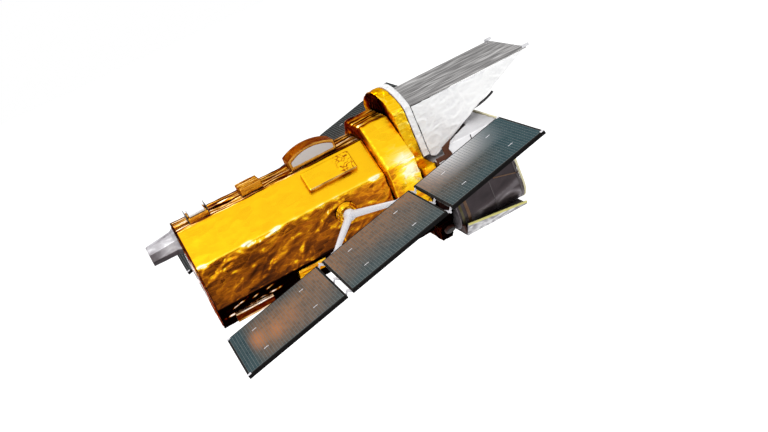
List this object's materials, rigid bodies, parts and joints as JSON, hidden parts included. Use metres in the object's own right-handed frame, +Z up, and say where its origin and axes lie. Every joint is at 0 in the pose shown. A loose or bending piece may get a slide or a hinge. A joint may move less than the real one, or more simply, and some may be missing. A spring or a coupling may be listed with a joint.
{
  "type": "space observatory satellite",
  "caption": "Space observatory with an eight-sided gold-foil bus, a slanted sunshade over telescope tubes, a rounded instrument hood and two turning, folding solar wings.",
  "frame": {"origin": "centre of the interface ring's aft face, where the free-flying spacecraft is held", "axes": "+X forwards along the bus to the sunshade, +Y to the left wing, +Z up out of the flat with the arched housing"},
  "size_m": [5.505, 5.362, 2.134],
  "materials": {
    "gold_foil": "crinkled gold foil blanket",
    "amber_foil": "dark amber foil blanket",
    "silver_foil": "crinkled silver foil blanket",
    "white_blanket": "white metallised blanket",
    "shade_cloth": "streaked grey outer layer",
    "grey_panel": "satin",
    "dark_plate": "satin black",
    "black_paint": "matt black",
    "machined_metal": "machined",
    "cream_trim": "satin",
    "brown_strut": "satin",
    "white_paint": "satin",
    "solar_cells": "coated cells on a dark panel"
  },
  "bodies": {
    "spacecraft": {"bus_body": "gold_foil", "interface_ring": "machined_metal", "aft_horn": "white_blanket", "antenna_base": "gold_foil", "antenna_cover": "white_blanket", "antenna_end_plates": "dark_plate", "top_box": "gold_foil", "arch_housing": "gold_foil", "arch_faces": "grey_panel", "side_pad_right": "gold_foil", "side_pad_left": "gold_foil", "lower_pads_right": "amber_foil", "lower_pads_left": "amber_foil", "collar": "gold_foil", "instrument_deck": "gold_foil", "shade_frame": "white_blanket", "shade_top": "shade_cloth", "shade_side_right": "white_blanket", "shade_side_left": "white_blanket", "shade_tip_fittings": "machined_metal", "hood_shell": "silver_foil", "mask_panel": "silver_foil", "hood_rim": "cream_trim", "hood_tray": "white_blanket", "hood_strut_right": "brown_strut", "hood_strut_left": "brown_strut", "rod_antenna": "dark_plate", "telescope_right": "black_paint", "telescope_left": "black_paint", "drive_boot_right": "gold_foil", "drive_boot_left": "gold_foil"},
    "right_wing": {"right_hub": "white_paint", "right_arm_aft": "white_paint", "right_arm_forward": "white_paint", "right_panel_mid": "solar_cells", "right_hinge_lugs": "white_paint"},
    "right_aft_panel": {"right_panel_aft": "solar_cells", "right_hinge_leaves_aft": "white_paint"},
    "right_forward_panel": {"right_panel_forward": "solar_cells", "right_hinge_leaves_forward": "white_paint"},
    "left_wing": {"left_hub": "white_paint", "left_arm_aft": "white_paint", "left_arm_forward": "white_paint", "left_panel_mid": "solar_cells", "left_hinge_lugs": "white_paint"},
    "left_aft_panel": {"left_panel_aft": "solar_cells", "left_hinge_leaves_aft": "white_paint"},
    "left_forward_panel": {"left_panel_forward": "solar_cells", "left_hinge_leaves_forward": "white_paint"}
  },
  "joints": [
    {"name": "right_drive", "type": "hinge", "parent": "spacecraft", "child": "right_wing", "pos_m": [1.997, -0.812, 0.051], "axis": [0, 1, 0], "range_deg": [-180, 180]},
    {"name": "right_aft_fold", "type": "hinge", "parent": "right_wing", "child": "right_aft_panel", "pos_m": [1.29627, -2.081, -0.06801], "axis": [0, 1, 0], "range_deg": [0, 180]},
    {"name": "right_forward_fold", "type": "hinge", "parent": "right_wing", "child": "right_forward_panel", "pos_m": [2.69731, -2.081, 0.17196], "axis": [0, 1, 0], "range_deg": [0, 180]},
    {"name": "left_drive", "type": "hinge", "parent": "spacecraft", "child": "left_wing", "pos_m": [1.997, 0.812, 0.051], "axis": [0, 1, 0], "range_deg": [-180, 180]},
    {"name": "left_aft_fold", "type": "hinge", "parent": "left_wing", "child": "left_aft_panel", "pos_m": [1.29627, 2.081, -0.06801], "axis": [0, 1, 0], "range_deg": [0, 180]},
    {"name": "left_forward_fold", "type": "hinge", "parent": "left_wing", "child": "left_forward_panel", "pos_m": [2.69731, 2.081, 0.17196], "axis": [0, 1, 0], "range_deg": [0, 180]}
  ]
}
